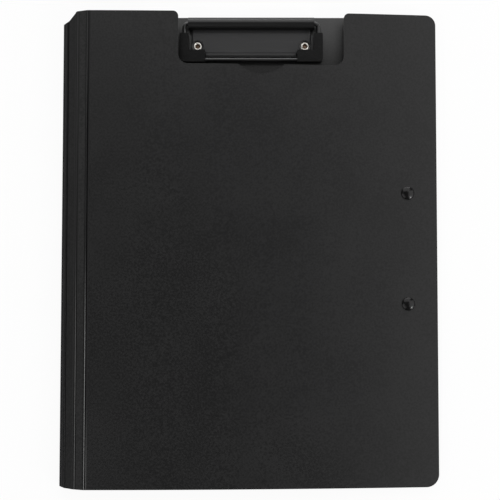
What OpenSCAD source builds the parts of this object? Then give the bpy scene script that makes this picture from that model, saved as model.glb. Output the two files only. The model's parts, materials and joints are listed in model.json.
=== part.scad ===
// Foldover storage clipboard, closed, lying on its back panel.
// Millimetres. +X points from the spine to the free edge, +Y to the clip end, +Z up.
// The origin is the centre of the footprint, on the surface that the clipboard lies on.

/* [Sheet] */
// Thickness of the plastic sheet that the panel, the spine and the cover are cut from
sheet_t = 1.4; // [1.0:0.1:1.8]
// Length of every sheet from the clip end to the foot
sheet_len = 318; // [300:1:340]
// Width of the back panel, from its crease to its free edge
panel_w = 233; // [226:1:234]
// Radius of the free corners at the clip end
corner_r_clip_end = 7; // [4:0.5:12]
// Radius of the free corners at the foot
corner_r_foot = 8.5; // [4:0.5:12]

/* [Spine] */
// Width of one spine strip, from crease to crease
strip_w = 7.8; // [7.2:0.1:9]
// Fold at rest of the crease between the back panel and the lower inner strip
fold_panel = 2.4; // [1:0.2:4]
// Fold at rest of the crease between the two lower strips
fold_lower = 14.6; // [12:0.2:17]
// Fold at rest of the crease under the spine wall
fold_wall_foot = 106; // [102:0.5:108]
// Fold at rest of the crease above the spine wall
fold_wall_head = 21; // [18:0.5:24]
// Fold at rest of the crease between the two upper strips
fold_upper = 16; // [13:0.5:19]
// Fold at rest of the crease between the upper inner strip and the cover
fold_cover = 20.3; // [19.5:0.1:21]
// How far the clip end of the spine wall is cut back
spine_corner_cut = 5.6; // [0.5:0.1:9]
// Running gap between a crease bead and its groove
crease_gap = 0.1; // [0.06:0.01:0.14]
// Room left beside the bevels of a crease when it is folded, in degrees
crease_bevel_room = 3; // [1:0.5:4]

/* [Front cover] */
// Width of the cover, from its crease to its free edge
cover_w = 235.2; // [230:0.2:240]
// How far the cover bulges above the straight line from its crease to its free edge
cover_bow = 2.6; // [1.5:0.1:3.5]
// Distance from the cover's crease to the clip cut-out
cutout_from_crease = 60.6; // [59:0.1:61]
// Width of the clip cut-out
cutout_w = 111.6; // [106:0.2:116]
// Depth of the clip cut-out, from the clip end
cutout_depth = 35.6; // [33.5:0.1:42]
// Radius of the cut-out's inner corners
cutout_corner_r = 6.5; // [3:0.5:9]
// Radius of the tabs' corners beside the cut-out
tab_corner_r = 3.6; // [1:0.2:6]
// Width of the half-moon thumb notch
notch_w = 31.5; // [24:0.5:40]
// Depth of the half-moon thumb notch
notch_depth = 6.4; // [4:0.2:10]

/* [Inner pocket] */
// Thickness of the pocket's film
pocket_film = 0.6; // [0.4:0.1:0.8]
// Height of the slot between the cover and the film
pocket_slot = 1.8; // [1:0.1:2]
// Width of the pocket's welded seams
pocket_seam = 4; // [3:0.5:8]
// Distance from the cover's crease to the pocket
pocket_from_crease = 16; // [12:1:30]
// Width of the pocket
pocket_w = 174; // [140:1:178]
// Height of the pocket, from its closed foot to its open mouth
pocket_h = 138; // [80:1:160]
// Margin between the pocket and the foot of the cover
pocket_foot_margin = 7; // [4:0.5:20]
// Radius of the thumb scallop in the pocket's mouth
scallop_r = 14; // [8:1:20]
// Gap left by the weld between the cover and the pocket's seams
weld_gap = 0.01; // [0.01:0.01:0.05]

/* [Clip] */
// Distance from the back panel's crease to the middle of the clip
clip_from_crease = 112.2; // [112:0.1:113.5]
// Overall length of the clip, over its two grips
clip_len = 97.4; // [94:0.2:97.6]
// Distance from the clip end of the sheet to the barrel's axis
barrel_inset = 5.5; // [5:0.1:8]
// Outer radius of the rolled barrel
barrel_r = 4.2; // [3.8:0.1:4.6]
// Thickness of the clip's sheet steel
clip_sheet_t = 1; // [0.7:0.05:1.1]
// Height of the raised base plate above the panel
plate_h = 2; // [1.8:0.1:2.2]
// Distance from the barrel's axis to the front edge of the base plate
plate_reach = 20.2; // [19:0.1:20.6]
// Radius of the base plate's rounded edges
plate_edge_r = 1.3; // [1.1:0.1:1.7]
// Gap between the grips and the ends of the base plate
plate_end_gap = 1.8; // [1:0.1:3]
// Gap between the grips and the barrel's ends, seen along the barrel
barrel_end_inset = 5.9; // [5.6:0.1:8]
// Radius of the spring wire
wire_r = 1.5; // [1.3:0.05:1.6]
// Distance from the barrel's axis to the middle of the front wire
wire_reach = 24.5; // [24:0.1:26]
// Centreline radius of the wire's bends beside the barrel
shoulder_bend_r = 2.6; // [2.2:0.1:2.8]
// Centreline radius of the wire's front bends
front_bend_r = 3.4; // [3:0.1:5]
// Gap between the panel and the grips
grip_lift = 0.35; // [0.3:0.05:0.6]
// How far each end of the wire reaches into the barrel
wire_tail = 34; // [20:1:38]
// Length of the wire's jog inside the barrel
wire_jog = 4; // [3:0.5:6]
// Running gap between the wire's tail and the barrel's wall
tail_gap = 0.1; // [0.06:0.01:0.2]

/* [Corner grips] */
// Width of a grip's leg along the side wire
grip_side_w = 6.1; // [5.8:0.1:6.4]
// Width of a grip's leg along the front wire
grip_front_w = 8; // [7:0.1:8.4]
// Length of a grip along the front wire
grip_front_len = 17.4; // [14:0.2:20]
// Length of a grip along the side wire
grip_side_len = 19.4; // [16:0.2:20]
// Thickness of a grip
grip_t = 4.9; // [4.6:0.1:5.4]
// Radius of a grip's outer corner
grip_corner_r = 2.2; // [1:0.1:3]
// Gap between a grip and the base plate
grip_plate_gap = 0.4; // [0.3:0.05:0.6]

/* [Clip rivets] */
// Distance between the two rivets
rivet_pitch = 73.3; // [70:0.1:74]
// Distance from the barrel's axis to the rivets
rivet_reach = 14.8; // [14:0.1:15]
// Radius of a rivet's head
rivet_head_r = 2.8; // [2.4:0.1:3]
// Height of a rivet's head
rivet_head_h = 0.9; // [0.6:0.1:1.2]
// Radius of a rivet's shank
rivet_shank_r = 1.9; // [1.7:0.05:2]
// Radius of the hollow in a rivet's head
rivet_hollow_r = 1.6; // [1.2:0.05:1.65]
// Depth of the hollow in a rivet's head
rivet_hollow_depth = 1.7; // [1:0.1:2]
// Radius of the floor of the dimple that a rivet's head sits in
dimple_r = 3.4; // [3.1:0.1:3.6]
// How much wider the dimple is at its mouth
dimple_flare = 0.8; // [0.4:0.1:1]
// Radius of a rivet washer
washer_r = 4; // [3.5:0.1:5]
// Thickness of a rivet washer
washer_t = 0.5; // [0.3:0.05:0.7]
// Gap where a fastener passes through a sheet or is seated on a curved one
fastener_gap = 0.03; // [0.02:0.01:0.08]

/* [Press studs] */
// Distance from the cover's free edge to the press studs
stud_from_edge = 20; // [14:0.2:24]
// Distance between the two press studs
stud_pitch = 74.6; // [60:0.2:90]
// Radius of a press stud's cap
cap_r = 4.45; // [4:0.05:5]
// Height of a cap's straight rim
cap_rim_h = 0.6; // [0.3:0.1:1]
// Height of a cap's dome above its rim
cap_dome_h = 1.5; // [1:0.1:2]
// Radius of the stems that hold the press studs together
stem_r = 1.2; // [1:0.05:1.4]
// Outer radius of a socket
socket_r = 4.2; // [3.8:0.1:4.6]
// Radius of a socket's bore
socket_bore_r = 2.4; // [2.2:0.05:2.6]
// Depth of a stem in a socket
socket_web = 1.1; // [0.8:0.1:1.2]
// Thickness of a stud's flange
stud_flange_t = 0.9; // [0.7:0.1:1.1]
// Radius of a stud's post
stud_post_r = 1.9; // [1.7:0.05:1.95]
// Gap between a closed stud's flange and its socket
stud_face_gap = 0.75; // [0.6:0.05:1]
// Gap between a closed stud's post and the roof of its socket
stud_tip_gap = 0.5; // [0.4:0.05:0.8]
// Thickness of a stud's back cap
back_cap_t = 0.6; // [0.4:0.1:0.7]
// Length of a back cap's stem inside the stud
back_stem_grip = 1.5; // [1:0.1:1.8]

/* [Hidden] */
$fn = 64;

sheet_colour = [0.13, 0.13, 0.135];
film_colour = [0.17, 0.17, 0.18];
steel_colour = [0.2, 0.2, 0.22];
wire_colour = [0.12, 0.12, 0.13];
rubber_colour = [0.1, 0.1, 0.1];
nickel_colour = [0.8, 0.79, 0.76];
gloss_colour = [0.06, 0.06, 0.06];

through = 20;           // a length that passes every sheet
half_t = sheet_t / 2;
half_len = sheet_len / 2;
bow_steps = 40;         // flats along the bowed cover

// --- the closed section, a chain of creases in the X-Z plane -------------------------------

folds = [fold_panel, fold_lower, fold_wall_foot, fold_wall_head, fold_upper, fold_cover];
strip_count = len(folds) - 1;

function sum_to(list, last) = last < 0 ? 0 : list[last] + sum_to(list, last - 1);
// Direction in which the sheet runs on after a crease; 180 is along the flat panel, away from the clip.
function direction(crease) = 180 - sum_to(folds, crease);
function heading(angle) = [cos(angle), sin(angle)];
// Place of a crease, counted from the panel's crease at [0, 0].
function chain(crease) =
    crease == 0 ? [0, 0] : chain(crease - 1) + strip_w * heading(direction(crease - 1));

bow_half_angle = 2 * atan(2 * cover_bow / cover_w);
bow_r = cover_w / (2 * sin(bow_half_angle));
cover_tilt = direction(strip_count) - bow_half_angle;

section_min_x = min([for (crease = [0:strip_count]) chain(crease)[0]]) - half_t;
section_max_x = chain(strip_count)[0] + cover_w * cos(cover_tilt) - half_t * sin(cover_tilt);
panel_crease = [-(section_min_x + section_max_x) / 2, half_t];
function crease_at(crease) = panel_crease + chain(crease);
cover_crease = crease_at(strip_count);

// Height of the cover's middle surface above its chord, at a distance from its crease.
function bow_at(along) =
    sqrt(bow_r * bow_r - pow(along - cover_w / 2, 2)) - bow_r * cos(bow_half_angle);
// Slope of the cover's middle surface there, from its chord.
function bow_slope(along) = -asin((along - cover_w / 2) / bow_r);
// A point of the section, from its place along and above the cover's chord.
function on_cover(along, above) =
    cover_crease + along * heading(cover_tilt) + above * heading(cover_tilt + 90);

// --- the clip ---------------------------------------------------------------------------------

panel_top = sheet_t;
clip_x = panel_crease[0] + clip_from_crease;
barrel_y = half_len - barrel_inset;
barrel_z = panel_top + barrel_r;
barrel_bore_r = barrel_r - clip_sheet_t;
barrel_half = clip_len / 2 - barrel_end_inset;
plate_half = clip_len / 2 - grip_side_w - plate_end_gap;
plate_top = panel_top + plate_h;
grip_floor = panel_top + grip_lift;
wire_front_z = grip_floor + grip_t / 2;
bail_tilt = asin((barrel_z - wire_front_z) / wire_reach);
wire_half = (clip_len - grip_side_w) / 2;
tail_offset = barrel_bore_r - wire_r - tail_gap;
grip_rear = wire_reach - (grip_front_w - wire_r);   // from the axis to the front leg's rear face

// --- the press studs --------------------------------------------------------------------------

stud_from_crease = cover_w - stud_from_edge;
stud_lean = cover_tilt + bow_slope(stud_from_crease);
socket_seat = half_t + fastener_gap;     // from the cover's middle surface down to the socket
socket_top = on_cover(stud_from_crease, bow_at(stud_from_crease)) - socket_seat * heading(stud_lean + 90);
socket_h = (socket_top[1] - panel_top - stud_flange_t - stud_face_gap) / cos(stud_lean);
stud_x = socket_top[0] + socket_h / 2 * sin(stud_lean);
stud_post_h = stud_face_gap + socket_h - socket_web - stud_tip_gap;
hole_r = stem_r + fastener_gap;

// --- helpers ------------------------------------------------------------------------------------

// Sends a section drawn in the X-Z plane along Y, centred on the sheet's length.
module along_sheet(length = sheet_len, middle = 0) {
    translate([0, middle + length / 2, 0]) rotate([90, 0, 0]) linear_extrude(length) children();
}

// Sends a section drawn in the Y-Z plane along X, centred on the clip.
module along_clip(length) {
    rotate([90, 0, 90]) translate([0, 0, -length / 2]) linear_extrude(length) children();
}

module rounded_corner_cut(r) {
    difference() {
        square(2 * r);
        circle(r);
    }
}

// Outline of a flat sheet that starts at a crease and has its two free corners rounded.
module sheet_outline(width) {
    difference() {
        translate([-half_t, -half_len]) square([width + half_t, sheet_len]);
        translate([width - corner_r_clip_end, half_len - corner_r_clip_end])
            rounded_corner_cut(corner_r_clip_end);
        translate([width - corner_r_foot, corner_r_foot - half_len])
            mirror([0, 1]) rounded_corner_cut(corner_r_foot);
    }
}

// Everything on one side of a crease's axis that would meet its neighbour when the crease is folded.
// It is drawn for a sheet that runs on along +X, with the inside of the folder at -Y.
module crease_bevel(fold) {
    face = 90 - fold / 2 - crease_bevel_room;
    reach = 4 * sheet_t;
    polygon([[0, 0], reach * heading(-face), [reach * cos(face), -reach], [-reach, -reach], [-reach, 0]]);
}

// The hollow edge of a sheet, which turns round its neighbour's bead.
module crease_groove(fold) {
    circle(half_t + crease_gap);
    translate([-2 * sheet_t, -sheet_t]) square([2 * sheet_t, 2 * sheet_t]);
    crease_bevel(fold);
}

// Section of one spine strip: a groove at its first crease and a bead at its second.
module strip_section(first) {
    rotate(direction(first)) {
        difference() {
            translate([0, -half_t]) square([strip_w, sheet_t]);
            crease_groove(folds[first]);
            translate([strip_w, 0]) mirror([1, 0]) crease_bevel(folds[first + 1]);
        }
        translate([strip_w, 0]) circle(half_t);
    }
}

// Cuts a strip's clip end along a slanting line, from one crease to the next.
module slanted_end(start_x, start_cut, end_x, end_cut) {
    beyond = half_len + 1;
    side = sign(end_x - start_x) * sheet_t;
    translate([0, 0, -1]) linear_extrude(through + barrel_z) polygon([
        [start_x - side, half_len - start_cut], [start_x, half_len - start_cut],
        [end_x, half_len - end_cut], [end_x + side, half_len - end_cut],
        [end_x + side, beyond], [start_x - side, beyond]
    ]);
}

module spine_strip(first, start_cut, end_cut) {
    start = crease_at(first);
    end = crease_at(first + 1);
    difference() {
        translate([start[0], 0, start[1]]) along_sheet() strip_section(first);
        if (start_cut > 0 || end_cut > 0) slanted_end(start[0], start_cut, end[0], end_cut);
    }
}

// A slab that follows the cover's bow, between two heights over its middle surface.
module bowed_slab(from, to, low, high) {
    edge_angle = function(along) 90 + bow_slope(along);
    centre = [cover_w / 2, -bow_r * cos(bow_half_angle)];
    step = (to - from) / bow_steps;
    upper = [for (i = [0:bow_steps]) centre + (bow_r + high) * heading(edge_angle(from + i * step))];
    lower = [for (i = [bow_steps:-1:0]) centre + (bow_r + low) * heading(edge_angle(from + i * step))];
    along_sheet() polygon(concat(upper, lower));
}

module in_cover_frame() {
    translate([cover_crease[0], 0, cover_crease[1]]) rotate([0, -cover_tilt, 0]) children();
}

module at_cover_studs() {
    in_cover_frame() for (side = [-1, 1])
        translate([stud_from_crease, side * stud_pitch / 2, bow_at(stud_from_crease)])
            rotate([0, -bow_slope(stud_from_crease), 0]) children();
}

module at_panel_studs() {
    for (side = [-1, 1]) translate([stud_x, side * stud_pitch / 2, 0]) children();
}

module at_rivets() {
    for (side = [-1, 1]) translate([clip_x + side * rivet_pitch / 2, barrel_y - rivet_reach, 0]) children();
}

// --- the sheet pieces ---------------------------------------------------------------------------

module back_panel() {
    color(sheet_colour) difference() {
        union() {
            translate([panel_crease[0], 0, 0]) linear_extrude(sheet_t) difference() {
                sheet_outline(panel_w);
                translate([-sheet_t, -sheet_len]) square([sheet_t, 2 * sheet_len]);
            }
            translate([panel_crease[0], 0, panel_crease[1]]) along_sheet() circle(half_t);
        }
        at_rivets() {
            cylinder(r = rivet_shank_r + fastener_gap, h = through, center = true);
            cylinder(r = washer_r + fastener_gap, h = 2 * washer_t, center = true);
        }
        at_panel_studs() {
            cylinder(r = hole_r, h = through, center = true);
            cylinder(r = cap_r + fastener_gap, h = 2 * back_cap_t, center = true);
        }
    }
}

module spine_strip_lower_inner() {
    color(sheet_colour) spine_strip(0, 0, 0);
}

module spine_strip_lower_outer() {
    color(sheet_colour) spine_strip(1, 0, spine_corner_cut);
}

module spine_wall() {
    color(sheet_colour) spine_strip(2, spine_corner_cut, spine_corner_cut);
}

module spine_strip_upper_outer() {
    color(sheet_colour) spine_strip(3, spine_corner_cut, 0);
}

module spine_strip_upper_inner() {
    color(sheet_colour) spine_strip(4, 0, 0);
}

module cutout_outline() {
    low = half_len - cutout_depth;
    right = cutout_from_crease + cutout_w;
    notch_r = (pow(notch_w / 2, 2) + pow(notch_depth, 2)) / (2 * notch_depth);
    difference() {
        translate([cutout_from_crease, low]) square([cutout_w, 2 * cutout_depth]);
        translate([cutout_from_crease + cutout_corner_r, low + cutout_corner_r])
            mirror([1, 1]) rounded_corner_cut(cutout_corner_r);
        translate([right - cutout_corner_r, low + cutout_corner_r])
            mirror([0, 1]) rounded_corner_cut(cutout_corner_r);
    }
    intersection() {
        translate([cutout_from_crease + cutout_w / 2, low - notch_depth + notch_r]) circle(notch_r, $fn = 128);
        translate([cutout_from_crease, low - cutout_depth]) square([cutout_w, cutout_depth + 1]);
    }
    translate([cutout_from_crease - tab_corner_r, half_len - tab_corner_r])
        rounded_corner_cut(tab_corner_r);
    translate([right + tab_corner_r, half_len - tab_corner_r])
        mirror([1, 0]) rounded_corner_cut(tab_corner_r);
}

module front_cover() {
    color(sheet_colour) difference() {
        in_cover_frame() {
            difference() {
                intersection() {
                    bowed_slab(0, cover_w, -half_t, half_t);
                    translate([0, 0, -through / 2]) linear_extrude(through) difference() {
                        sheet_outline(cover_w);
                        cutout_outline();
                    }
                }
                rotate([0, -bow_half_angle, 0]) along_sheet(2 * sheet_len) crease_groove(fold_cover);
            }
        }
        at_cover_studs() cylinder(r = hole_r, h = through, center = true);
    }
}

module inner_pocket() {
    left = pocket_from_crease;
    right = pocket_from_crease + pocket_w;
    foot = pocket_foot_margin - half_len;
    mouth = foot + pocket_h;
    film_top = -half_t - pocket_slot;
    color(film_colour) in_cover_frame() difference() {
        intersection() {
            bowed_slab(left, right, film_top - pocket_film, -half_t - weld_gap);
            translate([left, foot, -through / 2]) cube([pocket_w, pocket_h, through]);
        }
        intersection() {
            bowed_slab(left + pocket_seam, right - pocket_seam, film_top, half_t);
            translate([left, foot + pocket_seam, -through / 2]) cube([pocket_w, pocket_h, through]);
        }
        translate([(left + right) / 2, mouth, 0]) cylinder(r = scallop_r, h = through, center = true);
    }
}

// --- the clip ---------------------------------------------------------------------------------

// A box whose upper long and end edges are rounded; y runs from 0 to -reach.
module rounded_pan(half_w, reach, height, r) {
    intersection() {
        along_clip(2 * half_w) {
            translate([-reach + r, 0]) square([reach - r, height]);
            translate([-reach, 0]) square([reach, height - r]);
            intersection() {
                translate([r - reach, height - r]) circle(r);
                translate([-reach, 0]) square([reach, height]);
            }
        }
        rotate([90, 0, 0]) linear_extrude(reach) {
            translate([r - half_w, 0]) square([2 * (half_w - r), height]);
            translate([-half_w, 0]) square([2 * half_w, height - r]);
            intersection() {
                for (side = [-1, 1]) translate([side * (half_w - r), height - r]) circle(r);
                translate([-half_w, 0]) square([2 * half_w, height]);
            }
        }
    }
}

module dimple_cone(grow, top) {
    cylinder(r1 = dimple_r + grow, r2 = dimple_r + dimple_flare + grow, h = top);
}

module clip_base_plate() {
    color(steel_colour) difference() {
        union() {
            translate([clip_x, barrel_y, panel_top]) difference() {
                rounded_pan(plate_half, plate_reach, plate_h, plate_edge_r);
                difference() {
                    translate([0, 0, -clip_sheet_t]) rounded_pan(
                        plate_half - clip_sheet_t, plate_reach - clip_sheet_t,
                        plate_h, plate_edge_r - clip_sheet_t / 2);
                    for (side = [-1, 1]) translate([side * rivet_pitch / 2, -rivet_reach, -1])
                        cylinder(r = dimple_r + dimple_flare + clip_sheet_t, h = plate_h + 1);
                }
            }
            translate([clip_x, barrel_y, barrel_z]) rotate([0, 90, 0])
                cylinder(r = barrel_r, h = 2 * barrel_half, center = true);
        }
        translate([clip_x, barrel_y, barrel_z]) rotate([0, 90, 0])
            cylinder(r = barrel_bore_r, h = 3 * barrel_half, center = true);
        at_rivets() {
            translate([0, 0, panel_top + clip_sheet_t]) dimple_cone(0, plate_h - clip_sheet_t + 0.001);
            cylinder(r = rivet_shank_r + fastener_gap, h = through, center = true);
        }
    }
}

// The right half of the spring wire in the bail's own frame: the barrel's axis lies on X at the
// origin, and the bail points along -Y.
module half_wire(r) {
    module rod(length) { cylinder(r = r, h = length); }
    module bend(bend_r) {
        rotate_extrude(angle = 90) translate([bend_r, 0]) circle(r);
    }
    jog = [wire_jog, 0, -tail_offset];
    elbow_r = 1.02 * r;
    tail_end = barrel_half - wire_tail;
    jog_start = barrel_half - 2 - wire_jog;
    translate([tail_end, 0, tail_offset]) rotate([0, 90, 0]) rod(jog_start - tail_end);
    translate([jog_start, 0, tail_offset]) {
        sphere(elbow_r);
        rotate([0, 90 + atan(tail_offset / wire_jog), 0]) rod(norm(jog));
        translate(jog) sphere(elbow_r);
    }
    translate([jog_start + wire_jog, 0, 0]) rotate([0, 90, 0])
        rod(wire_half - shoulder_bend_r - jog_start - wire_jog);
    translate([wire_half - shoulder_bend_r, -shoulder_bend_r, 0]) bend(shoulder_bend_r);
    translate([wire_half, -shoulder_bend_r, 0]) rotate([90, 0, 0])
        rod(wire_reach - shoulder_bend_r - front_bend_r);
    translate([wire_half - front_bend_r, front_bend_r - wire_reach, 0])
        rotate(-90) bend(front_bend_r);
    translate([0, -wire_reach, 0]) rotate([0, 90, 0]) rod(wire_half - front_bend_r);
}

module in_bail_frame() {
    translate([clip_x, barrel_y, barrel_z]) rotate([bail_tilt, 0, 0]) children();
}

module clip_spring_wire() {
    color(wire_colour) in_bail_frame() {
        half_wire(wire_r);
        mirror([1, 0, 0]) half_wire(wire_r);
    }
}

// One L-shaped grip on the right front corner of the wire, in the bail's own frame.
module corner_grip() {
    outer = wire_half + grip_side_w / 2;
    front = -grip_rear - grip_front_w;
    inner = outer - grip_side_w;
    r = grip_corner_r;
    small_r = 0.8;
    difference() {
        translate([0, 0, -grip_t / 2]) linear_extrude(grip_t) difference() {
            union() {
                translate([outer - grip_front_len, front]) square([grip_front_len, grip_front_w]);
                translate([inner, front]) square([grip_side_w, grip_side_len]);
            }
            translate([outer - r, front + r]) mirror([0, 1]) rounded_corner_cut(r);
            translate([outer - small_r, front + grip_side_len - small_r]) rounded_corner_cut(small_r);
            translate([inner + small_r, front + grip_side_len - small_r])
                mirror([1, 0]) rounded_corner_cut(small_r);
        }
        half_wire(wire_r);
    }
}

// The room that the base plate needs under the grips, with its gap.
module plate_clearance() {
    translate([clip_x - plate_half - grip_plate_gap, barrel_y - plate_reach - grip_plate_gap, 0])
        cube([2 * (plate_half + grip_plate_gap), plate_reach, plate_top + grip_plate_gap]);
}

module clip_grip_left() {
    color(rubber_colour) difference() {
        in_bail_frame() mirror([1, 0, 0]) corner_grip();
        plate_clearance();
    }
}

module clip_grip_right() {
    color(rubber_colour) difference() {
        in_bail_frame() corner_grip();
        plate_clearance();
    }
}

module clip_rivets() {
    seat = panel_top + clip_sheet_t;
    crown_r = rivet_head_h / 2;
    color(nickel_colour) at_rivets() difference() {
        union() {
            translate([0, 0, seat]) cylinder(r = rivet_head_r - crown_r, h = rivet_head_h);
            translate([0, 0, seat + crown_r]) rotate_extrude()
                translate([rivet_head_r - crown_r, 0]) circle(crown_r, $fn = 32);
            cylinder(r = rivet_shank_r, h = seat + crown_r);
        }
        translate([0, 0, seat + rivet_head_h - rivet_hollow_depth])
            cylinder(r = rivet_hollow_r, h = through);
    }
}

module clip_rivet_washers() {
    color(nickel_colour) at_rivets() difference() {
        cylinder(r = washer_r, h = washer_t);
        translate([0, 0, -1]) cylinder(r = rivet_shank_r + fastener_gap, h = washer_t + 2);
    }
}

// --- the press studs --------------------------------------------------------------------------

module press_stud_caps() {
    dome_r = (cap_r * cap_r + cap_dome_h * cap_dome_h) / (2 * cap_dome_h);
    color(gloss_colour) at_cover_studs() {
        translate([0, 0, half_t]) cylinder(r = cap_r, h = cap_rim_h);
        translate([0, 0, half_t + cap_rim_h]) rotate_extrude() intersection() {
            translate([0, cap_dome_h - dome_r]) circle(dome_r, $fn = 128);
            square([cap_r, cap_dome_h]);
        }
        translate([0, 0, -socket_seat - socket_web])
            cylinder(r = stem_r, h = socket_web + socket_seat + half_t);
    }
}

module press_stud_sockets() {
    color(gloss_colour) at_cover_studs() difference() {
        translate([0, 0, -socket_seat - socket_h]) cylinder(r = socket_r, h = socket_h);
        translate([0, 0, -socket_seat - socket_h - 1])
            cylinder(r = socket_bore_r, h = socket_h - socket_web + 1);
        cylinder(r = hole_r, h = through, center = true);
    }
}

module press_stud_posts() {
    tip_r = 0.6;
    color(gloss_colour) at_panel_studs() translate([0, 0, panel_top]) difference() {
        union() {
            cylinder(r = socket_r, h = stud_flange_t);
            cylinder(r = stud_post_r, h = stud_flange_t + stud_post_h - tip_r);
            translate([0, 0, stud_flange_t + stud_post_h - tip_r])
                cylinder(r1 = stud_post_r, r2 = stud_post_r - tip_r, h = tip_r);
        }
        translate([0, 0, -1]) cylinder(r = hole_r, h = back_stem_grip + 1);
    }
}

module press_stud_back_caps() {
    color(gloss_colour) at_panel_studs() {
        cylinder(r = cap_r, h = back_cap_t);
        cylinder(r = stem_r, h = panel_top + back_stem_grip);
    }
}

back_panel();
spine_strip_lower_inner();
spine_strip_lower_outer();
spine_wall();
spine_strip_upper_outer();
spine_strip_upper_inner();
front_cover();
inner_pocket();
clip_base_plate();
clip_spring_wire();
clip_grip_left();
clip_grip_right();
clip_rivets();
clip_rivet_washers();
press_stud_caps();
press_stud_sockets();
press_stud_posts();
press_stud_back_caps();
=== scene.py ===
"""Looks of a foldover clipboard case: creased spine, grained cover, wire clip and press studs.

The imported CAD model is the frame. Lengths in the classes below are in millimetres, and
`Bench` turns them into the scene's metres as it models.
"""

import contextlib
import json
import logging
import math
from collections.abc import Iterator
from dataclasses import dataclass
from enum import Enum

import bpy
from mathutils import Matrix, Vector
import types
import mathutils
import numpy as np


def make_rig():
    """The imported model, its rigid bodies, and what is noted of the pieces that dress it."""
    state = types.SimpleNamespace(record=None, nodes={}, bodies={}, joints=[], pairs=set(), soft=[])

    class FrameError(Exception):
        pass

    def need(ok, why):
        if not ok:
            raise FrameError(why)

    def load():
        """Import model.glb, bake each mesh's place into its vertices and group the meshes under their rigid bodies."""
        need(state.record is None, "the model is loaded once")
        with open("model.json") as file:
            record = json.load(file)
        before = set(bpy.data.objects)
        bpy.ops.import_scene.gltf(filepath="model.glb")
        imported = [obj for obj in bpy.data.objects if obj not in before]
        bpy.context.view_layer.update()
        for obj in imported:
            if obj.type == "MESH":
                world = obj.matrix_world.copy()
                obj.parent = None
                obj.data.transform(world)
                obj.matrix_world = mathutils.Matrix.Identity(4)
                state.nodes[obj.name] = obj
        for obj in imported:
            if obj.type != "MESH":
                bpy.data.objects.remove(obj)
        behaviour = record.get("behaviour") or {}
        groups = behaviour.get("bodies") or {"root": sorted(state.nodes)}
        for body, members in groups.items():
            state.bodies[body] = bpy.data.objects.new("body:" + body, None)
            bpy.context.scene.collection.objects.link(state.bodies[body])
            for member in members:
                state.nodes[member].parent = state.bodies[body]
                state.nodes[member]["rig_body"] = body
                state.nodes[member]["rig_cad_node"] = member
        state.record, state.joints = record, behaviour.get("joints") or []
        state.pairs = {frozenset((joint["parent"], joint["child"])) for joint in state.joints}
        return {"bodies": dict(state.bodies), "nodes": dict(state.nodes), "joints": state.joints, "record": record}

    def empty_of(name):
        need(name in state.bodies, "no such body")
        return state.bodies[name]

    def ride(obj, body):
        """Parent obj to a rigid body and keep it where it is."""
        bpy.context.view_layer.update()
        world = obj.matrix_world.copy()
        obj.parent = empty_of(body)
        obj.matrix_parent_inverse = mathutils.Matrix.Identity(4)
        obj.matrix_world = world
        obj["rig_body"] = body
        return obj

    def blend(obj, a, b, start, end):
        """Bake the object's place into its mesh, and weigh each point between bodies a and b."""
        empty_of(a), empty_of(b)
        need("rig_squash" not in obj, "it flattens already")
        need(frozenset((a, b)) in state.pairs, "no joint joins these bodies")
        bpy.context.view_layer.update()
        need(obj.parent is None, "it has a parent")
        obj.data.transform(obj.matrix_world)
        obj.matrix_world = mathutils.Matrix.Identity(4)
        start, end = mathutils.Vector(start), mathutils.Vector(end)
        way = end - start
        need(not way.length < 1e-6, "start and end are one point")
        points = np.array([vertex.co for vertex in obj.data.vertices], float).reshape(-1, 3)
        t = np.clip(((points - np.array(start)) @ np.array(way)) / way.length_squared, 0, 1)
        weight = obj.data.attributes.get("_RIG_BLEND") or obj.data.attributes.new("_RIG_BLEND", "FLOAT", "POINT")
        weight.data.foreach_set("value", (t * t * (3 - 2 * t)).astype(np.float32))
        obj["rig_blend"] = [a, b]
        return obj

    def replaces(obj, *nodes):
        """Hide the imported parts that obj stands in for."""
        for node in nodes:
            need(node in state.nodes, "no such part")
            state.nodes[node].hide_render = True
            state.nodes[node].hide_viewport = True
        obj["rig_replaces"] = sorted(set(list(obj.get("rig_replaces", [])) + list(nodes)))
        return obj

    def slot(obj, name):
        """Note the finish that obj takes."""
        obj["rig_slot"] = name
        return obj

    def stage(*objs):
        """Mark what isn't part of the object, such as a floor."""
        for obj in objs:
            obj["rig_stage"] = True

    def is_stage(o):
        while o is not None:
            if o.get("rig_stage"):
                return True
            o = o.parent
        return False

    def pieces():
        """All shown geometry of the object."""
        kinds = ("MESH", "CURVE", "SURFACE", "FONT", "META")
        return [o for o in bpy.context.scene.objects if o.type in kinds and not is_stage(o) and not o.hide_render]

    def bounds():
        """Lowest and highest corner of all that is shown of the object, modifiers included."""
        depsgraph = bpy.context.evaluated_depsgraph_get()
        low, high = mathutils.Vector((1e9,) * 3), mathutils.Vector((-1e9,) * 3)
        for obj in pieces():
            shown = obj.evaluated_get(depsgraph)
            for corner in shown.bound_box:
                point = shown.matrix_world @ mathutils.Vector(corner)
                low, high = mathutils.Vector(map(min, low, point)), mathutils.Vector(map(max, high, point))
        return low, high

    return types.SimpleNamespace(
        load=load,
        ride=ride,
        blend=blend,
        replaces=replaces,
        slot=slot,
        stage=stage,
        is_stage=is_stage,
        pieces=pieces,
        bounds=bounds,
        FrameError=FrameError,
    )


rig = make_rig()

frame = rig.load()

LOG = logging.getLogger("clipboard")
MM = 0.001
SIZE_FILE = "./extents.json"
CREASE_MAP = "across_crease"

Socket = bpy.types.NodeSocket
NodeTree = bpy.types.NodeTree
Node = bpy.types.Node
Piece = bpy.types.Object
Material = bpy.types.Material
Colour = tuple[float, float, float]
Point = tuple[float, float]


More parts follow.
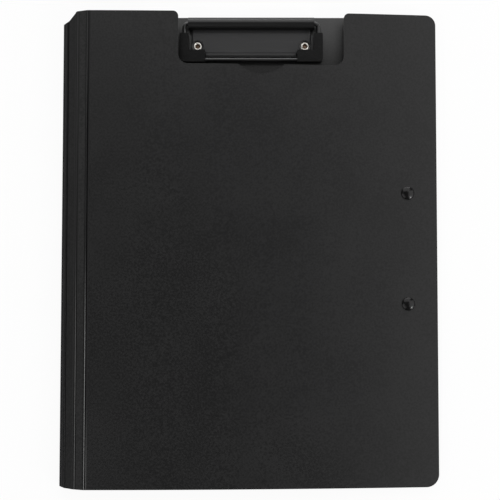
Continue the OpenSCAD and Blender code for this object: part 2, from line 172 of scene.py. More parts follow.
class Part(Enum):
    """Bodies of the clipboard that the pieces ride on."""

    BOARD = "back_board"
    LOWER_INNER = "lower_inner_strip"
    LOWER_OUTER = "lower_outer_strip"
    WALL = "wall_strip"
    UPPER_OUTER = "upper_outer_strip"
    UPPER_INNER = "upper_inner_strip"
    COVER = "cover"
    BAIL = "clip_bail"


class Slot(Enum):
    """Material slots of the record that the pieces take their finish from."""

    SHEET = "sheet"
    STEEL = "clip_steel"
    WIRE = "clip_wire"
    RUBBER = "grip_rubber"
    NICKEL = "rivet_nickel"
    STUD = "stud_plastic"


# --- shader groups


class Tree:
    """A node tree being filled in."""

    MIX_INPUTS = (0, 6, 7)
    MIX_OUTPUT = 2

    def __init__(self, tree: NodeTree) -> None:
        """Starts from an empty tree.

        Args:
            tree: the node tree of a material, a world or a group.
        """
        self.tree = tree
        tree.nodes.clear()

    def link(self, source: object, target: Socket) -> None:
        """Joins an output to an input, or sets the input to a constant.

        Args:
            source: a socket or a constant.
            target: the input.
        """
        if isinstance(source, Socket):
            self.tree.links.new(source, target)
        else:
            target.default_value = source

    def add(self, kind: str, **values: object) -> Node:
        """Adds a node and sets what it holds.

        Args:
            kind: the node's type name.
            values: properties of the node, or sockets and constants for its inputs, with
                underscores for the spaces in an input's name.

        Returns:
            The new node.
        """
        node = self.tree.nodes.new(kind)
        for name, value in values.items():
            label = name.replace("_", " ")
            if hasattr(node, name):
                setattr(node, name, value)
            elif label in node.inputs:
                self.link(value, node.inputs[label])
            else:
                raise KeyError(f"{kind} has no {name}")
        return node

    def math(self, operation: str, *values: object) -> Socket:
        """Adds one step of arithmetic.

        Args:
            operation: the Math node's operation.
            values: what it works on, each a socket or a number.

        Returns:
            The result's socket.
        """
        node = self.add("ShaderNodeMath", operation=operation)
        for value, target in zip(values, node.inputs):
            self.link(value, target)
        return node.outputs[0]

    def blend(self, first: Socket, share: float, second: Socket, other: float) -> Socket:
        """Adds a share of one value to a share of another."""
        return self.math("ADD", self.math("MULTIPLY", first, share), self.math("MULTIPLY", second, other))

    def remap(self, value: Socket, low: float, high: float, to_low: float, to_high: float) -> Socket:
        """Maps one span of a value smoothly onto another.

        Args:
            value: the socket to read.
            low: where the span starts.
            high: where the span ends.
            to_low: the result at its start.
            to_high: the result at its end.

        Returns:
            The result's socket.
        """
        node = self.add(
            "ShaderNodeMapRange", interpolation_type="SMOOTHSTEP", clamp=True,
            Value=value, From_Min=low, From_Max=high, To_Min=to_low, To_Max=to_high,
        )
        return node.outputs["Result"]

    def mix(self, factor: Socket, first: object, second: object) -> Socket:
        """Mixes two colours.

        Args:
            factor: the second colour's share.
            first: a socket or a colour, shown where the factor is 0.
            second: a socket or a colour, shown where the factor is 1.

        Returns:
            The mixed colour's socket.
        """
        node = self.add("ShaderNodeMix", data_type="RGBA")
        for value, place in zip((factor, first, second), self.MIX_INPUTS):
            self.link((*value, 1.0) if isinstance(value, tuple) else value, node.inputs[place])
        return node.outputs[self.MIX_OUTPUT]

    def bump(self, height: Socket, strength: float, distance: float) -> Socket:
        """Turns a height into a normal. The distance is in millimetres."""
        return self.add("ShaderNodeBump", Strength=strength, Distance=distance * MM, Height=height).outputs["Normal"]

    def effect(self, group: NodeTree, place: Socket, **numbers: float) -> Node:
        """Adds a shared effect, read at a place and with its numbers set."""
        return self.add("ShaderNodeGroup", node_tree=group, Vector=place, **numbers)

    def output(self, surface: Socket, kind: str = "ShaderNodeOutputMaterial") -> None:
        """Ends the tree with a shader."""
        self.add(kind, Surface=surface)

    def surface(self, **inputs: object) -> None:
        """Ends a material's tree with the usual shader, its inputs given as `add` takes them."""
        self.output(self.add("ShaderNodeBsdfPrincipled", **inputs).outputs[0])


class Effects:
    """The effects that several finishes share, each a node group that is built once."""

    CELLS_PER_GRAIN = 0.55
    MOTTLE_PER_GRAIN = 0.36
    FINE_SHARE = 0.7
    PIT_SHARE = 0.6
    DRIFT_SHARE = 0.3
    MOTTLE_SHARE = 0.7
    SCUFF_STRETCH = (1.0, 14.0, 6.0)
    SCUFF_SPAN = (0.52, 0.78)

    def __init__(self) -> None:
        """Builds every group."""
        self.grain = self._grain()
        self.dust = self._dust()
        self.scuff = self._scuff()

    @staticmethod
    def _group(name: str, numbers: dict[str, float], outputs: tuple[str, ...]) -> tuple[NodeTree, Tree, Node, Node]:
        """Starts a node group that reads a place and some numbers.

        Args:
            name: the group's name.
            numbers: the number inputs, each with its default.
            outputs: the outputs, all of them numbers.

        Returns:
            The group, its tree, its input node and its output node.
        """
        group = bpy.data.node_groups.new(name, "ShaderNodeTree")
        group.interface.new_socket("Vector", in_out="INPUT", socket_type="NodeSocketVector")
        for label, default in numbers.items():
            socket = group.interface.new_socket(label, in_out="INPUT", socket_type="NodeSocketFloat")
            socket.default_value = default
        for label in outputs:
            group.interface.new_socket(label, in_out="OUTPUT", socket_type="NodeSocketFloat")
        tree = Tree(group)
        return group, tree, tree.add("NodeGroupInput"), tree.add("NodeGroupOutput")

    def _grain(self) -> NodeTree:
        """Sandy embossing: a fine height, a mottled tone and a slow drift of it over the sheet.

        Returns:
            The group.
        """
        group, tree, start, end = self._group("sandy_grain", {"Grains": 2200.0, "Drift": 24.0}, ("Height", "Tone"))
        place, grains, drifts = (start.outputs[name] for name in ("Vector", "Grains", "Drift"))
        pits = tree.math("MULTIPLY", grains, self.CELLS_PER_GRAIN)
        spots = tree.math("MULTIPLY", grains, self.MOTTLE_PER_GRAIN)
        fine = tree.add("ShaderNodeTexNoise", Vector=place, Scale=grains, Detail=2.0, Roughness=0.65)
        cells = tree.add("ShaderNodeTexVoronoi", feature="F1", Vector=place, Scale=pits)
        mottle = tree.add("ShaderNodeTexNoise", Vector=place, Scale=spots, Detail=1.0, Roughness=0.5)
        drift = tree.add("ShaderNodeTexNoise", Vector=place, Scale=drifts, Detail=3.0, Roughness=0.6)
        height = tree.blend(fine.outputs["Fac"], self.FINE_SHARE, cells.outputs["Distance"], self.PIT_SHARE)
        tone = tree.blend(drift.outputs["Fac"], self.DRIFT_SHARE, mottle.outputs["Fac"], self.MOTTLE_SHARE)
        tree.link(height, end.inputs["Height"])
        tree.link(tone, end.inputs["Tone"])
        return group

    def _dust(self) -> NodeTree:
        """Sparse specks of dust and lint.

        Returns:
            The group.
        """
        numbers = {"Cells": 90.0, "Speck": 0.02, "Share": 0.1}
        group, tree, start, end = self._group("dust_specks", numbers, ("Mask",))
        place, scale, speck, share = (start.outputs[name] for name in ("Vector", *numbers))
        cells = tree.add("ShaderNodeTexVoronoi", feature="F1", Vector=place, Scale=scale)
        near = tree.math("LESS_THAN", cells.outputs["Distance"], speck)
        chance = tree.add("ShaderNodeSeparateColor", Color=cells.outputs["Color"])
        chosen = tree.math("LESS_THAN", chance.outputs["Red"], share)
        tree.link(tree.math("MULTIPLY", near, chosen), end.inputs["Mask"])
        return group

    def _scuff(self) -> NodeTree:
        """Fine rubbing that runs along one axis, for satin paint and film.

        Returns:
            The group.
        """
        group, tree, start, end = self._group("fine_scuff", {"Lines": 40.0}, ("Mask",))
        stretch = tree.add("ShaderNodeVectorMath", operation="MULTIPLY")
        tree.link(start.outputs["Vector"], stretch.inputs[0])
        tree.link(self.SCUFF_STRETCH, stretch.inputs[1])
        place, lines = stretch.outputs[0], start.outputs["Lines"]
        noise = tree.add("ShaderNodeTexNoise", Vector=place, Scale=lines, Detail=4.0, Roughness=0.7)
        tree.link(tree.remap(noise.outputs["Fac"], *self.SCUFF_SPAN, 0.0, 1.0), end.inputs["Mask"])
        return group


# --- finishes


def new_material(name: str) -> tuple[Material, Tree]:
    """Adds a material with an empty tree."""
    material = bpy.data.materials.new(name)
    material.use_nodes = True
    return material, Tree(material.node_tree)


def grey(level: float, blue: float = 0.0) -> Colour:
    """Gives a neutral colour, a little bluer where asked."""
    return (level, level, level + blue)


@dataclass(frozen=True)
class SheetFinish:
    """Sandy-grained black sheet, with slight drift of tone and a little dust.

    Where `foot_specular` is given, the shine runs from it at `foot_y` to `specular` at
    `head_y`; this ramp is painted shade, less sheen towards the foot.
    """

    name: str
    dark: Colour
    light: Colour
    roughness: float = 0.5
    roughness_drift: float = 0.08
    specular: float = 0.5
    grains: float = 2200.0
    grain_strength: float = 0.3
    foot_specular: float | None = None
    foot_y: float = 118.0
    head_y: float = 158.0
    grain_height: float = 0.04
    tone_span: tuple[float, float] = (0.36, 0.64)
    dust: Colour = (0.16, 0.155, 0.15)
    dust_share: float = 0.02

    def build(self, effects: Effects) -> Material:
        """Builds the material.

        Args:
            effects: the shared node groups.

        Returns:
            The material.
        """
        material, tree = new_material(self.name)
        place = tree.add("ShaderNodeTexCoord").outputs["Object"]
        grain = tree.effect(effects.grain, place, Grains=self.grains)
        specks = tree.effect(effects.dust, place, Share=self.dust_share)
        tone = tree.remap(grain.outputs["Tone"], *self.tone_span, 0.0, 1.0)
        colour = tree.mix(specks.outputs["Mask"], tree.mix(tone, self.dark, self.light), self.dust)
        rough = tree.math("MULTIPLY_ADD", tone, self.roughness_drift, self.roughness)
        shine: object = self.specular
        # painted shade: the sheen falls off from head to foot along Y
        if self.foot_specular is not None:
            along = tree.add("ShaderNodeSeparateXYZ", Vector=place).outputs["Y"]
            shine = tree.remap(along, self.foot_y * MM, self.head_y * MM, self.foot_specular, self.specular)
        normal = tree.bump(grain.outputs["Height"], self.grain_strength, self.grain_height)
        tree.surface(Base_Color=colour, Roughness=rough, Specular_IOR_Level=shine, Normal=normal)
        return material


@dataclass(frozen=True)
class PaintFinish:
    """Satin paint, film, rubber, gloss plastic or metal: one colour with rubbing and fine unevenness."""

    name: str
    colour: Colour
    rubbed: Colour
    roughness: float
    rubbed_roughness: float
    ripple: float = 0.02
    specular: float = 0.5
    metallic: float = 0.0
    lines: float = 40.0
    ripple_scale: float = 900.0
    ripple_strength: float = 0.2

    def build(self, effects: Effects) -> Material:
        """Builds the material.

        Args:
            effects: the shared node groups.

        Returns:
            The material.
        """
        material, tree = new_material(self.name)
        place = tree.add("ShaderNodeTexCoord").outputs["Object"]
        scuff = tree.effect(effects.scuff, place, Lines=self.lines).outputs["Mask"]
        grain = tree.effect(effects.grain, place, Grains=self.ripple_scale)
        tree.surface(
            Base_Color=tree.mix(scuff, self.colour, self.rubbed),
            Roughness=tree.remap(scuff, 0.0, 1.0, self.roughness, self.rubbed_roughness),
            Specular_IOR_Level=self.specular,
            Metallic=self.metallic,
            Normal=tree.bump(grain.outputs["Height"], self.ripple_strength, self.ripple),
        )
        return material


@dataclass(frozen=True)
class Stripe:
    """One line that runs along a crease, its place and strength changing from head to foot.

    Distances across the crease are in millimetres, positive towards the cover. The
    strength changes between the Y of `fade_to` and that of `fade_from`.
    """

    head_at: float
    foot_at: float
    half: float
    head_strength: float
    foot_strength: float
    fade_from: float = 60.0
    fade_to: float = -95.0

    @property
    def middle(self) -> float:
        """Place of the line half way along."""
        return (self.head_at + self.foot_at) / 2


@dataclass(frozen=True)
class CreaseLook:
    """The stripes of one crease, how far its web reaches and what it is coloured."""

    ridges: tuple[Stripe, ...]
    channels: tuple[Stripe, ...]
    reach_before: float = 1.0
    reach_after: float = 1.2
    skin: float = 0.09
    ridge_height: float = 0.13
    body: Colour = (0.0105, 0.0105, 0.0107)
    specular: float = 0.16


@dataclass(frozen=True)
class CreaseFinish:
    """Pressed crease: light lines on the ridges, part stress whitening and part painted highlight, mostly towards the
    foot, beside dark channels of painted shade.

    The piece's own UV map gives the distance across the crease (U) and the place along
    it (V), both in metres.
    """

    name: str
    look: CreaseLook
    # The channel colour is painted shade of the groove; the ridge colour is part stress whitening, part painted
    # highlight.
    channel_shade: Colour = (0.0012, 0.0012, 0.0013)
    whitened_and_highlit: Colour = (0.17, 0.17, 0.168)
    roughness: float = 0.5
    grains: float = 1500.0
    drift: float = 160.0
    grain_strength: float = 0.25
    grain_height: float = 0.03
    tone_span: tuple[float, float] = (0.25, 0.6)
    least_whitening: float = 0.6
    head_y: float = 60.0
    foot_y: float = -95.0
    solid_to: float = 0.55
    faded_at: float = 1.25

    def build(self, effects: Effects) -> Material:
        """Builds the material.

        Args:
            effects: the shared node groups.

        Returns:
            The material.
        """
        material, tree = new_material(self.name)
        across = tree.add("ShaderNodeUVMap", uv_map=CREASE_MAP).outputs["UV"]
        parts = tree.add("ShaderNodeSeparateXYZ", Vector=across)
        grain = tree.effect(effects.grain, across, Grains=self.grains, Drift=self.drift)
        broken = tree.remap(grain.outputs["Tone"], *self.tone_span, self.least_whitening, 1.0)
        colour: object = self.look.body
        shine: object = self.look.specular
        # Channels: painted shade, their colour darkened and their shine cut as if the groove hid the light.
        for stripe in self.look.channels:
            line = self._line(tree, parts, stripe)
            colour = tree.mix(line, colour, self.channel_shade)
            shine = tree.math("MULTIPLY", shine, tree.math("SUBTRACT", 1.0, line))
        # Ridges: light lines, part stress whitening and part painted highlight.
        for stripe in self.look.ridges:
            line = tree.math("MULTIPLY", self._line(tree, parts, stripe), broken)
            colour = tree.mix(line, colour, self.whitened_and_highlit)
        normal = tree.bump(grain.outputs["Height"], self.grain_strength, self.grain_height)
        tree.surface(Base_Color=colour, Roughness=self.roughness, Specular_IOR_Level=shine, Normal=normal)
        return material

    def _line(self, tree: Tree, parts: Node, stripe: Stripe) -> Socket:
        """Masks one stripe.

        Args:
            tree: the material's tree.
            parts: the node that gives the UV map's two parts.
            stripe: the line.

        Returns:
            The mask's socket.
        """
        across, along = parts.outputs["X"], parts.outputs["Y"]
        places = (stripe.foot_at * MM, stripe.head_at * MM)
        middle = tree.remap(along, self.foot_y * MM, self.head_y * MM, *places)
        away = tree.math("ABSOLUTE", tree.math("SUBTRACT", across, middle))
        line = tree.remap(away, stripe.half * self.solid_to * MM, stripe.half * self.faded_at * MM, 1.0, 0.0)
        strengths = (stripe.foot_strength, stripe.head_strength)
        strength = tree.remap(along, stripe.fade_to * MM, stripe.fade_from * MM, *strengths)
        return tree.math("MULTIPLY", line, strength)


class Finishes:
    """Every finish of the clipboard, built once."""

    def __init__(self) -> None:
        """Builds the groups and the materials."""
        self.effects = Effects()

        def sheet(name: str, dark: Colour, light: Colour, **values: float) -> Material:
            """Builds a sheet finish."""
            return SheetFinish(name, dark, light, **values).build(self.effects)

        def strip(name: str, dark: Colour, light: Colour, **values: float) -> Material:
            """Builds a finish of the spine's strips."""
            return sheet(name, dark, light, grains=1800.0, **values)

        def paint(*values: object, **named: float) -> Material:
            """Builds a paint finish from its name, colours, roughness of each, ripple and the rest."""
            return PaintFinish(*values, **named).build(self.effects)

        shade = {"roughness": 0.46, "foot_y": -40.0, "head_y": 150.0}
        self.sheet = sheet(
            "embossed_sheet", grey(0.001, 0.0001), grey(0.0068, 0.0001),
            roughness=0.41, roughness_drift=0.06, specular=0.4,
        )
        # Panel: its shine drops towards the cut-out's foot, painted shade of the cover's edge hiding the light.
        self.panel = sheet(
            "panel_sheet", grey(0.004), grey(0.010),
            roughness=0.36, roughness_drift=0.04, specular=1.0, grain_strength=0.15, foot_specular=0.4,
        )
        self.spine = strip("spine_sheet", grey(0.004, 0.0002), grey(0.0065, 0.0003), roughness=0.46, specular=0.3)
        # Upper strips: lit copies of the sheet, a paler colour with little shine standing in for the sheen on their
        # slopes, with painted shade towards the foot.
        self.outer = strip(
            "spine_outer_sheet_painted_light", grey(0.0125, 0.0001), grey(0.0195, 0.0001), specular=0.13, foot_specular=0.1, **shade
        )
        self.inner = strip(
            "spine_inner_sheet_painted_light", grey(0.0225), grey(0.0315), specular=0.12, foot_specular=0.05, **shade
        )
        # Wall: a shaded copy of the sheet, its darker colour and almost no shine are painted shade.
        self.wall = strip(
            "spine_wall_sheet_painted_shade", grey(0.003, 0.0006), grey(0.008, 0.0008), roughness=0.6, specular=0.035
        )
        # Cut edges: far paler than the sheet, a painted highlight of light catching the rounded edges.
        self.cut = sheet("cut_edge_painted_highlight", grey(0.05), grey(0.072), roughness=0.45, specular=0.5)
        self.film = paint("pocket_film", grey(0.016, 0.001), grey(0.024, 0.001), 0.34, 0.5, lines=25.0)
        self.steel = paint("satin_black_steel", grey(0.020, 0.0008), grey(0.029, 0.001), 0.38, 0.46, 0.015)
        # Darker copy of the plate's steel: painted shade on the barrel, the lip's front and the rivet seats.
        self.barrel = paint("satin_black_steel_painted_shade", grey(0.003, 0.0001), grey(0.006), 0.3, 0.36, 0.006)
        self.wire = paint("black_wire", grey(0.004, 0.0002), grey(0.009), 0.3, 0.38, 0.01, specular=0.7)
        self.rubber = paint(
            "black_rubber", grey(0.002), grey(0.026), 0.32, 0.46, 0.09, specular=0.3, lines=300.0, ripple_scale=1300.0
        )
        self.nickel = paint("bright_nickel", (0.76, 0.73, 0.68), (0.62, 0.58, 0.52), 0.18, 0.32, 0.01, metallic=1.0)
        self.hollow = paint("rivet_hollow", (0.20, 0.14, 0.10), (0.10, 0.07, 0.05), 0.42, 0.6, metallic=1.0)
        self.gloss = paint("gloss_black_plastic", grey(0.002), grey(0.004), 0.24, 0.28, 0.008, specular=0.3)


# --- modelling bench


class Bench:
    """Modelling steps that the sub-assemblies share. Lengths are in millimetres."""

    COPY_MERGE = 0.002
    LATHE_MERGE = 0.001
    RUN_MERGE = 0.0005
    FLAT_ANGLE = 0.06
    LATHE_STEPS = 64
    LATHE_SMOOTH = 38.0

    @staticmethod
    def clear() -> None:
        """Leaves edit mode and deselects everything."""
        if bpy.context.object is not None and bpy.context.object.mode != "OBJECT":
            bpy.ops.object.mode_set(mode="OBJECT")
        bpy.ops.object.select_all(action="DESELECT")

    @classmethod
    def take(cls, piece: Piece) -> None:
        """Makes one piece the only selected and active one."""
        cls.clear()
        piece.select_set(True)
        bpy.context.view_layer.objects.active = piece

    @classmethod
    @contextlib.contextmanager
    def editing(cls, piece: Piece) -> Iterator[None]:
        """Opens a piece in edit mode with all of it selected, and leaves edit mode after.

        Args:
            piece: the piece to shape.

        Yields:
            Nothing.
        """
        cls.take(piece)
        bpy.ops.object.mode_set(mode="EDIT")
        bpy.context.tool_settings.mesh_select_mode = (True, False, False)
        bpy.ops.mesh.select_all(action="SELECT")
        yield
        bpy.ops.object.mode_set(mode="OBJECT")

    @staticmethod
    def close_up(merge: float) -> None:
        """Merges vertices nearer than a distance and turns the normals outward, in edit mode."""
        bpy.ops.mesh.select_all(action="SELECT")
        bpy.ops.mesh.remove_doubles(threshold=merge * MM)
        bpy.ops.mesh.normals_make_consistent(inside=False)

    @classmethod
    def trace(cls, name: str, points: list[Vector]) -> Piece:
        """Starts a piece as a chain of edges through some points.

        Args:
            name: the new piece's name.
            points: the chain's corners, in metres.

        Returns:
            The new piece.
        """
        cls.clear()
        bpy.ops.mesh.primitive_plane_add(size=MM, location=points[0])
        piece = bpy.context.object
        piece.name = piece.data.name = name
        bpy.ops.object.transform_apply(location=True, rotation=True, scale=True)
        with cls.editing(piece):
            bpy.ops.mesh.merge(type="CENTER")
            bpy.ops.mesh.select_all(action="SELECT")
            for here, there in zip(points, points[1:]):
                bpy.ops.mesh.extrude_vertices_move(TRANSFORM_OT_translate={"value": there - here})
        return piece

    @classmethod
    def smooth(cls, piece: Piece, angle: float, weigh: bool = True) -> None:
        """Smooths a piece's edges below an angle.

        Args:
            piece: the piece to finish.
            angle: the most angle across a smooth edge, in degrees.
            weigh: whether the flat faces keep their own normals.
        """
        cls.take(piece)
        bpy.ops.object.shade_smooth_by_angle(angle=math.radians(angle))
        if weigh:
            cls.apply(piece, "WEIGHTED_NORMAL", mode="FACE_AREA", weight=60, keep_sharp=True)

    @classmethod
    def apply(cls, piece: Piece, kind: str, **values: object) -> None:
        """Adds a modifier and applies it.

        Args:
            piece: the piece to finish.
            kind: the modifier's type.
            values: its settings.
        """
        cls.take(piece)
        modifier = piece.modifiers.new(kind.lower(), kind)
        for name, value in values.items():
            setattr(modifier, name, value)
        bpy.ops.object.modifier_apply(modifier=modifier.name)

    @classmethod
    def copy_of(cls, node: str, name: str) -> Piece:
        """Copies a CAD node's mesh, merges it and clears its flat faces of extra edges.

        Args:
            node: the CAD node.
            name: the new piece's name.

        Returns:
            The new piece.
        """
        source = frame["nodes"][node]
        piece = bpy.data.objects.new(name, source.data.copy())
        piece.data.name = name
        bpy.context.scene.collection.objects.link(piece)
        piece.data.materials.clear()
        cls.take(piece)
        with contextlib.suppress(RuntimeError):
            bpy.ops.mesh.customdata_custom_splitnormals_clear()
        with cls.editing(piece):
            cls.close_up(cls.COPY_MERGE)
            bpy.ops.mesh.dissolve_limited(angle_limit=math.radians(cls.FLAT_ANGLE))
        return piece

    @classmethod
    def soften(
        cls, piece: Piece, width: float, segments: int = 2, corner: float = 35.0, smooth: float = 40.0
    ) -> None:
        """Rounds the sharp edges and smooths the rest, flat faces staying flat.

        Args:
            piece: the piece to finish.
            width: the rounding's width.
            segments: the rounding's steps.
            corner: the least angle of a sharp edge, in degrees.
            smooth: the most angle across a smooth edge, in degrees.
        """
        cls.apply(
            piece, "BEVEL", width=width * MM, segments=segments, limit_method="ANGLE",
            angle_limit=math.radians(corner), miter_outer="MITER_SHARP", use_clamp_overlap=True,
        )
        cls.smooth(piece, smooth)

    @classmethod
    def lathe(cls, name: str, foot: tuple[float, float, float], profile: tuple[Point, ...]) -> Piece:
        """Turns a profile about an upright axis, as on a lathe.

        Args:
            name: the new piece's name.
            foot: where the axis stands.
            profile: radius and height above the foot of the profile's corners.

        Returns:
            The new piece.
        """
        base = Vector(foot) * MM
        piece = cls.trace(name, [base + Vector((r, 0, z)) * MM for r, z in profile])
        with cls.editing(piece):
            bpy.ops.mesh.spin(steps=cls.LATHE_STEPS, angle=math.tau, center=base, axis=(0, 0, 1))
            cls.close_up(cls.LATHE_MERGE)
        cls.smooth(piece, cls.LATHE_SMOOTH, weigh=False)
        return piece

    @classmethod
    def run(cls, name: str, outline: list[Point], y_from: float, y_to: float, cuts: int = 0) -> Piece:
        """Draws an outline in the section plane and extrudes it along the clipboard.

        Args:
            name: the new piece's name.
            outline: x and z of the closed outline's corners.
            y_from: where the run starts.
            y_to: where it ends.
            cuts: how many times it is cut across.

        Returns:
            The new piece.
        """
        piece = cls.trace(name, [Vector((x, y_from, z)) * MM for x, z in outline])
        step = Vector((0, (y_to - y_from) / (cuts + 1), 0)) * MM
        with cls.editing(piece):
            bpy.ops.mesh.edge_face_add()
            for _ in range(cuts + 1):
                bpy.ops.mesh.extrude_region_move(TRANSFORM_OT_translate={"value": step})
            cls.close_up(cls.RUN_MERGE)
        return piece

    @classmethod
    def run_across(cls, name: str, outline: list[Point], x_from: float, x_to: float) -> Piece:
        """Draws an outline in the side plane and extrudes it across the clipboard.

        Args:
            name: the new piece's name.
            outline: y and z of the closed outline's corners.
            x_from: where the run starts.
            x_to: where it ends.

        Returns:
            The new piece.
        """
        piece = cls.run(name, [(-y, z) for y, z in outline], x_from, x_to)
        piece.data.transform(Matrix.Rotation(-math.pi / 2, 4, "Z"))
        return piece

    @staticmethod
    def dress(piece: Piece, slot: Slot, *materials: Material) -> None:
        """Gives a piece its materials and names the record's slot for it.

        Args:
            piece: the piece.
            slot: the record's slot.
            materials: its finish, and a second one for some faces if it has one.
        """
        piece.data.materials.clear()
        for material in materials:
            piece.data.materials.append(material)
        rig.slot(piece, slot.value)

    @staticmethod
    def place(piece: Piece, part: Part, node: str | None = None) -> None:
        """Lets a piece ride on a body, in place of a CAD node if one is named.

        Args:
            piece: the piece.
            part: the body.
            node: the CAD node it stands for.
        """
        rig.ride(piece, part.value)
        if node is not None:
            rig.replaces(piece, node)
        LOG.info("%s: %d faces", piece.name, len(piece.data.polygons))

    @staticmethod
    def repaint(node: str, material: Material) -> None:
        """Gives a CAD node that stays a better material.

        Args:
            node: the CAD node.
            material: its finish.
        """
        owner = frame["nodes"][node]
        for place in owner.material_slots:
            place.material = material
        LOG.info("%s keeps its CAD shape, with %s", node, material.name)


# --- the sheet parts


@dataclass
class SheetCase:
    """Back panel, creased spine and cover, all of one grained sheet."""

    finishes: Finishes
    edge_round: float = 0.22
    cover_round: float = 0.55
    end_tilt: float = 0.2
    level_tilt: float = 0.98

    def build(self) -> None:
        """Builds and dresses the cover, the panel and the strips."""
        finishes = self.finishes
        self._skin("front_cover", Part.COVER, finishes.sheet, self.cover_round)
        self._skin("back_panel", Part.BOARD, finishes.panel)
        self._skin("spine_strip_lower_inner", Part.LOWER_INNER, finishes.spine)
        self._skin("spine_strip_lower_outer", Part.LOWER_OUTER, finishes.spine)
        self._skin("spine_wall", Part.WALL, finishes.wall)
        self._skin("spine_strip_upper_outer", Part.UPPER_OUTER, finishes.outer)
        self._skin("spine_strip_upper_inner", Part.UPPER_INNER, finishes.inner)

    def _skin(self, node: str, part: Part, material: Material, width: float | None = None) -> None:
        """Rounds the cut edges of one sheet part and smooths its bow.

        Args:
            node: the CAD node it stands for.
            part: the body it rides on.
            material: its finish.
            width: the rounding's width, where it isn't the usual one.
        """
        piece = Bench.copy_of(node, f"{node}_skin")
        Bench.soften(piece, width or self.edge_round, segments=3)
        Bench.dress(piece, Slot.SHEET, material, self.finishes.cut)
        wide = part in (Part.COVER, Part.BOARD)
        # End faces, and the side faces of cover and panel, take the edge finish with its painted highlight.
        for face in piece.data.polygons:
            end, edge = abs(face.normal.y) > self.end_tilt, abs(face.normal.z) < self.level_tilt
            face.material_index = int(end or (wide and edge))
        Bench.place(piece, part, node)


# Stripes: the light ridge is partly painted highlight and the dark channels are painted shade.
PLAIN_CREASE = CreaseLook(
    ridges=(Stripe(-0.1, -0.1, 0.24, 0.15, 0.35),),
    channels=(Stripe(0.45, 0.45, 0.3, 0.8, 0.8), Stripe(-0.6, -0.6, 0.25, 0.5, 0.5)),
    skin=0.03,
    ridge_height=0.06,
    body=(0.006, 0.006, 0.0062),
)


@dataclass
class Crease:
    """One pressed crease: a thin web that bends between two neighbouring strips."""

    name: str
    x: float
    z: float
    before: Part
    after: Part
    heading_before: float
    heading_after: float
    y_from: float
    y_to: float
    look: CreaseLook
    half_sheet: float = 0.7
    channel_depth: float = 0.07
    ridge_spread: float = 0.75
    channel_spread: float = 0.8
    least_skin: float = 0.015
    dip: float = 0.03
    sink: float = 0.12
    pitch: float = 0.12
    bend: float = 0.6
    cuts: int = 7
    smooth: float = 50.0

    def _rise(self, across: float) -> float:
        """Height of the web's face over the strips at a distance across the crease."""

        def swell(stripes: tuple[Stripe, ...], spread: float) -> float:
            """Adds up how much each stripe counts here."""
            return sum(math.exp(-(((across - line.middle) / (spread * line.half)) ** 2)) for line in stripes)

        up = self.look.ridge_height * swell(self.look.ridges, self.ridge_spread)
        down = self.channel_depth * swell(self.look.channels, self.channel_spread)
        return max(self.least_skin, self.look.skin + up - down)

    def _section(self) -> list[tuple[float, float, float, float]]:
        """Works out the web's face, from the strip before to the strip after.

        Returns:
            Distance across the crease, x, z and heading of each point.
        """
        turn = math.radians(self.heading_before - self.heading_after)
        arc = self.half_sheet * turn
        low, high = -self.look.reach_before - arc / 2, self.look.reach_after + arc / 2
        count = round((high - low) / self.pitch)
        line = []
        for step in range(count + 1):
            across = low + (high - low) * step / count
            if across < -arc / 2:
                heading, along = self.heading_before, across + arc / 2
            elif across > arc / 2:
                heading, along = self.heading_after, across - arc / 2
            else:
                heading, along = self.heading_before - math.degrees(turn) * (across / arc + 0.5), 0.0
            up = self.half_sheet + (-self.dip if step in (0, count) else self._rise(across))
            c, s = math.cos(math.radians(heading)), math.sin(math.radians(heading))
            line.append((across, self.x + c * along - s * up, self.z + s * along + c * up, heading))
        return line

    def build(self, effects: Effects) -> None:
        """Builds, dresses and blends the web.

        Args:
            effects: the shared node groups.
        """
        line = self._section()
        face = [(x, z) for _, x, z, _ in line]
        turns = [math.radians(h) for _, _, _, h in line]
        under = [(x + math.sin(h) * self.sink, z - math.cos(h) * self.sink) for (x, z), h in zip(face, turns)]
        piece = Bench.run(self.name, face + under[::-1], self.y_from, self.y_to, self.cuts)
        self._map(piece, line)
        Bench.smooth(piece, self.smooth, weigh=False)
        Bench.dress(piece, Slot.SHEET, CreaseFinish(f"{self.name}_finish", self.look).build(effects))
        centre = Vector((self.x, 0, self.z)) * MM
        before, after = (
            Vector((math.cos(h), 0, math.sin(h))) * self.bend * MM
            for h in (math.radians(self.heading_before), math.radians(self.heading_after))
        )
        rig.blend(piece, self.before.value, self.after.value, start=centre - before, end=centre + after)
        LOG.info("%s: between %s and %s", piece.name, self.before.value, self.after.value)

    def _map(self, piece: Piece, line: list[tuple[float, float, float, float]]) -> None:
        """Lays a UV map: distance across the crease and place along it, in metres.

        Args:
            piece: the web.
            line: its section.
        """
        layer = piece.data.uv_layers.new(name=CREASE_MAP)
        for loop in piece.data.loops:
            x, y, z = piece.data.vertices[loop.vertex_index].co
            nearest = min(line, key=lambda mark: (mark[1] * MM - x) ** 2 + (mark[2] * MM - z) ** 2)
            layer.data[loop.index].uv = (nearest[0] * MM, y)


